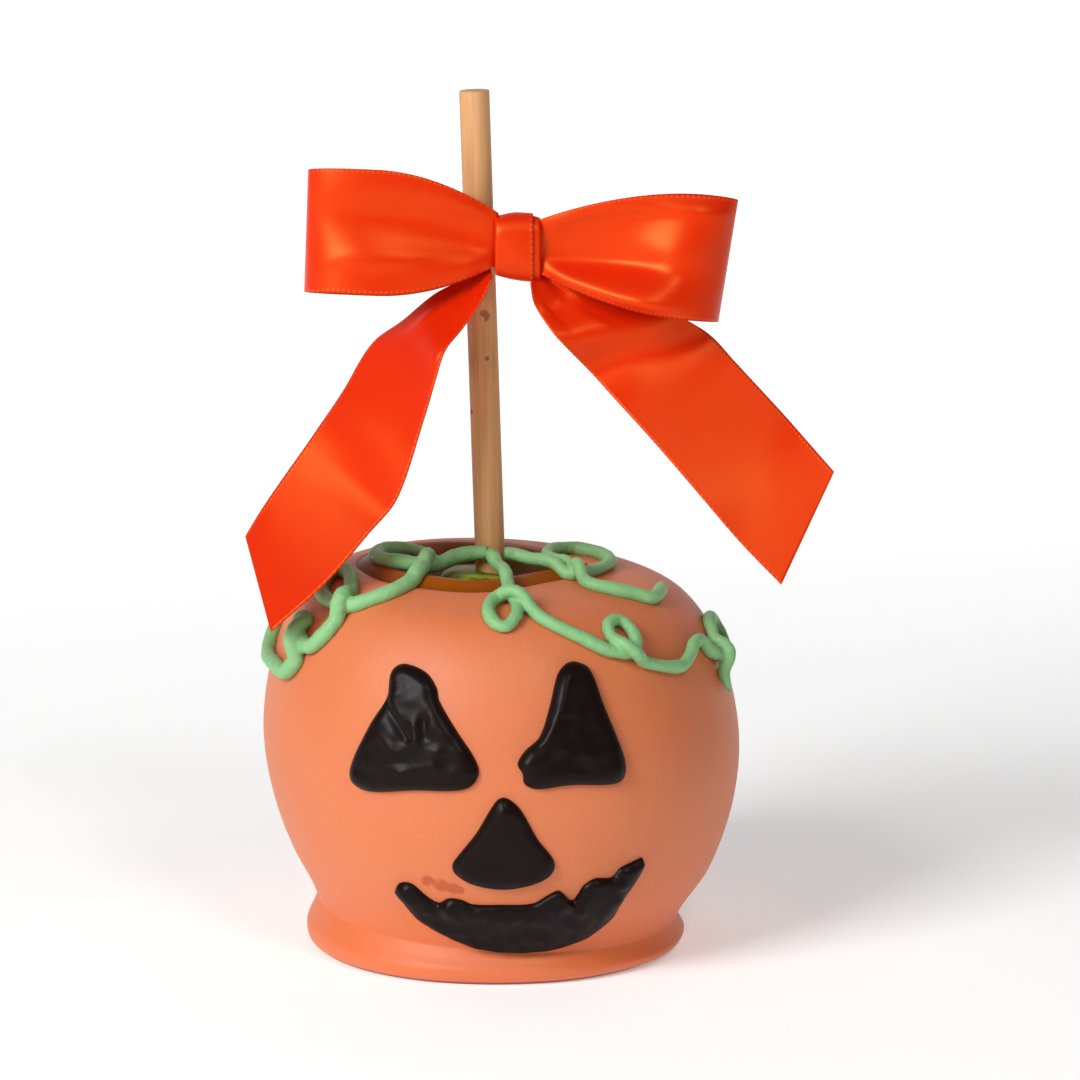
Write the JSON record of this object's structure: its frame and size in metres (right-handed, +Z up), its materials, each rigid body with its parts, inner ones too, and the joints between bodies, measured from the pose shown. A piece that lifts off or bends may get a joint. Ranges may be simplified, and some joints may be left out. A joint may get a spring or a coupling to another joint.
{
  "type": "caramel apple",
  "caption": "Caramel apple dipped in orange chocolate, with a dark chocolate pumpkin face, piped green vines, and an orange satin bow on its wooden stick.",
  "frame": {"origin": "middle of the flat foot that the apple stands on", "axes": "+Z up along the stick, -Y out of the face, +X to the right as one faces it"},
  "size_m": [0.1068, 0.0902, 0.1583],
  "materials": {
    "apple_skin": "green apple skin seen through thin caramel",
    "caramel": "glossy amber caramel",
    "orange_chocolate": "satin set chocolate, orange",
    "wood": "plain sanded birch",
    "dark_chocolate": "satin dark chocolate",
    "green_icing": "smooth set icing, pale green",
    "orange_satin": "satin ribbon, bright orange"
  },
  "bodies": {
    "root": {"apple": "apple_skin", "caramel": "caramel", "coating": "orange_chocolate", "stick": "wood", "eye_left": "dark_chocolate", "eye_right": "dark_chocolate", "nose": "dark_chocolate", "mouth": "dark_chocolate", "vine_left": "green_icing", "vine_front": "green_icing", "vine_right": "green_icing", "vine_back": "green_icing", "ribbon_wrap": "orange_satin", "ribbon_knot": "orange_satin", "ribbon_loop_left": "orange_satin", "ribbon_loop_right": "orange_satin", "ribbon_tail_left": "orange_satin", "ribbon_tail_right": "orange_satin"}
  },
  "joints": []
}
